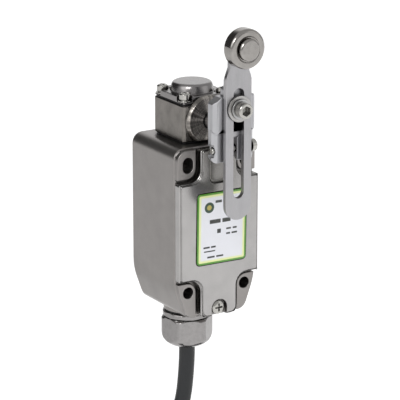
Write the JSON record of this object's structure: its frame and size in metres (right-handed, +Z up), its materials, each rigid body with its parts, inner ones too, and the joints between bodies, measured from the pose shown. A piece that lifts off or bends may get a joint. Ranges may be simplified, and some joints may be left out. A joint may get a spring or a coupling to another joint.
{
  "type": "limit switch",
  "caption": "Limit switch: cast housing with cover and square head, slotted adjustable lever with a metal roller, cable gland and a coiled supply cable.",
  "frame": {"origin": "centre of the four mounting holes, on the back face that lies against the wall or bracket", "axes": "+Y points out of the back face into the wall, so the cover and the lever face -Y; +Z points up from the cable gland to the roller; +X is to the right when the cover is looked at"},
  "size_m": [0.1144, 0.068, 0.3186],
  "materials": {
    "cast_steel": "satin cast stainless steel, warm grey, finely grained",
    "cover_steel": "satin cast stainless steel, a little lighter than the body",
    "head_steel": "ground and part polished steel with machining marks",
    "lever_steel": "smooth satin stainless sheet and machined steel",
    "bright_steel": "polished steel",
    "spring_steel": "drawn spring wire",
    "brass": "plain brass",
    "bronze": "sintered bronze",
    "black_rubber": "matt black rubber",
    "cable_sheath": "dark slate cable sheath",
    "wire_insulation": "thin plastic insulation",
    "black_moulding": "moulded insulating plastic",
    "label_face": "printed film, white with a green border",
    "tie_plastic": "black nylon"
  },
  "bodies": {
    "housing": {"body": "cast_steel", "cover": "cover_steel", "head": "head_steel", "head_cap": "head_steel", "gland_body": "lever_steel", "dome_nut": "lever_steel", "cover_screw_top": "bright_steel", "cover_screw_bottom": "bright_steel", "cap_screw_1": "bright_steel", "cap_screw_2": "bright_steel", "cap_screw_3": "bright_steel", "cap_screw_4": "bright_steel", "terminal_screw_closed_left": "bright_steel", "terminal_screw_closed_right": "bright_steel", "terminal_screw_open_left": "bright_steel", "terminal_screw_open_right": "bright_steel", "return_spring": "spring_steel", "plunger_spring": "spring_steel", "contact_closed_left": "brass", "contact_closed_right": "brass", "contact_open_left": "brass", "contact_open_right": "brass", "earth_screw": "brass", "shaft_bush": "bronze", "plunger_guide": "bronze", "cover_gasket": "black_rubber", "head_gasket": "black_rubber", "cap_gasket": "black_rubber", "shaft_seal": "black_rubber", "gland_washer": "black_rubber", "gland_insert": "black_rubber", "cable_entry": "cable_sheath", "cable_lead": "cable_sheath", "cable_coil": "cable_sheath", "wire_lower_left": "wire_insulation", "wire_lower_right": "wire_insulation", "wire_upper_left": "wire_insulation", "wire_upper_right": "wire_insulation", "cable_end": "wire_insulation", "contact_block": "black_moulding", "label_plate": "label_face", "cable_tie_lower": "tie_plastic", "cable_tie_side": "tie_plastic"},
    "lever_hub": {"shaft": "lever_steel", "cam": "lever_steel", "shaft_circlip": "spring_steel", "lever_holder": "lever_steel", "clamp_screw": "bright_steel", "lock_bolt": "bright_steel", "flat_washer": "bright_steel", "spring_washer": "spring_steel"},
    "arm": {"lever_arm": "lever_steel", "roller_pin": "bright_steel", "roller_spacer": "bright_steel"},
    "roller_wheel": {"roller": "bright_steel"},
    "plunger_set": {"plunger": "bright_steel", "contact_bridge": "brass"}
  },
  "joints": [
    {"name": "lever_turn", "type": "hinge", "parent": "housing", "child": "lever_hub", "pos_m": [0, -0.056, 0.0476], "axis": [0, 1, 0], "range_deg": [-75, 75], "stiffness_Nm_per_rad": 0.15},
    {"name": "arm_length", "type": "slide", "parent": "lever_hub", "child": "arm", "axis": [0, 0, 1], "range_m": [-0.0065, 0.038]},
    {"name": "roller_spin", "type": "hinge", "parent": "arm", "child": "roller_wheel", "pos_m": [0, -0.0622, 0.0862], "axis": [0, 1, 0], "continuous": true},
    {"name": "plunger_travel", "type": "slide", "parent": "housing", "child": "plunger_set", "axis": [0, 0, 1], "range_m": [-0.003, 0], "stiffness_N_per_m": 600, "springref_m": 0.001, "deforming": ["plunger_spring"]}
  ]
}
